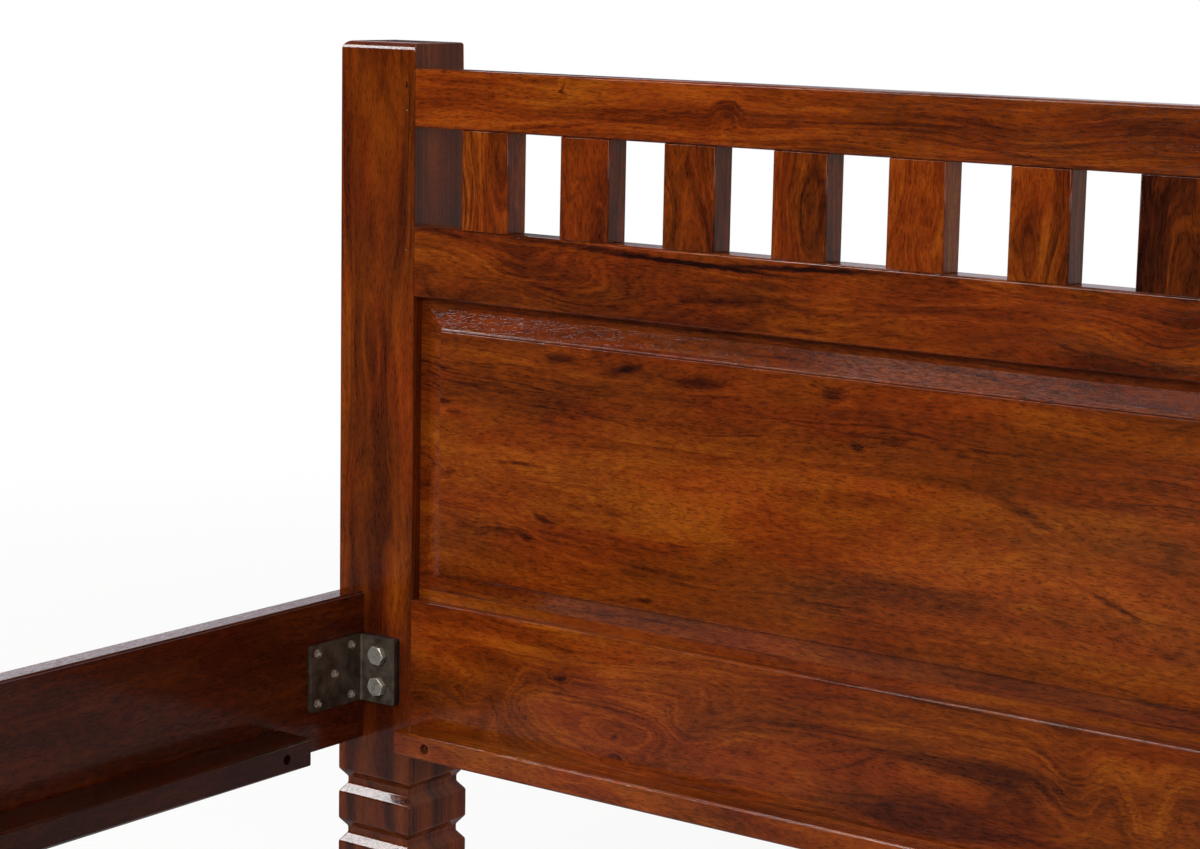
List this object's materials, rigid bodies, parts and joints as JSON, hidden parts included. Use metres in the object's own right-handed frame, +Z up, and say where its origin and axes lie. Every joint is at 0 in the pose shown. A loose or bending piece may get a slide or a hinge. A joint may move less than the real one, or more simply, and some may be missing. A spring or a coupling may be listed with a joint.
{
  "type": "bed",
  "caption": "Stained hardwood double bed: slatted and panelled headboard, low panelled footboard, notched square legs, side rails on steel corner brackets, slatted base.",
  "frame": {"origin": "on the floor under the middle of the bed's outer box", "axes": "+Y towards the headboard, +Z up, +X to the right seen from the foot"},
  "size_m": [1.7056, 2.194, 0.9205],
  "materials": {
    "stained_acacia": "reddish brown stain under glossy lacquer, dark streaked grain",
    "planed_pine": "planed, unfinished",
    "bracket_steel": "hot rolled plate, dark grey, worn",
    "bolt_steel": "zinc plated, semi-bright",
    "screw_steel": "zinc plated, dull"
  },
  "bodies": {
    "root": {"backing_plate_foot_left": "bracket_steel", "backing_plate_foot_right": "bracket_steel", "backing_plate_head_left": "bracket_steel", "backing_plate_head_right": "bracket_steel", "backing_plate_screws": "screw_steel", "base_slat_01": "planed_pine", "base_slat_02": "planed_pine", "base_slat_03": "planed_pine", "base_slat_04": "planed_pine", "base_slat_05": "planed_pine", "base_slat_06": "planed_pine", "base_slat_07": "planed_pine", "base_slat_08": "planed_pine", "base_slat_09": "planed_pine", "base_slat_10": "planed_pine", "beam_hanger_foot": "bracket_steel", "beam_hanger_head": "bracket_steel", "beam_screws": "screw_steel", "bracket_screws": "screw_steel", "centre_beam": "stained_acacia", "centre_leg_foot": "stained_acacia", "centre_leg_head": "stained_acacia", "cleat_screws": "screw_steel", "corner_bracket_foot_left": "bracket_steel", "corner_bracket_foot_right": "bracket_steel", "corner_bracket_head_left": "bracket_steel", "corner_bracket_head_right": "bracket_steel", "foot_bottom_rail": "stained_acacia", "foot_cleat": "stained_acacia", "foot_panel": "stained_acacia", "foot_post_left": "stained_acacia", "foot_post_right": "stained_acacia", "foot_top_rail": "stained_acacia", "head_bottom_rail": "stained_acacia", "head_cleat": "stained_acacia", "head_middle_rail": "stained_acacia", "head_panel": "stained_acacia", "head_post_left": "stained_acacia", "head_post_right": "stained_acacia", "head_slat_01": "stained_acacia", "head_slat_02": "stained_acacia", "head_slat_03": "stained_acacia", "head_slat_04": "stained_acacia", "head_slat_05": "stained_acacia", "head_slat_06": "stained_acacia", "head_slat_07": "stained_acacia", "head_slat_08": "stained_acacia", "head_slat_09": "stained_acacia", "head_slat_10": "stained_acacia", "head_slat_11": "stained_acacia", "head_slat_12": "stained_acacia", "head_slat_13": "stained_acacia", "head_top_rail": "stained_acacia", "hex_bolts": "bolt_steel", "side_cleat_left": "stained_acacia", "side_cleat_right": "stained_acacia", "side_rail_left": "stained_acacia", "side_rail_right": "stained_acacia", "tenon_brads": "screw_steel"}
  },
  "joints": []
}
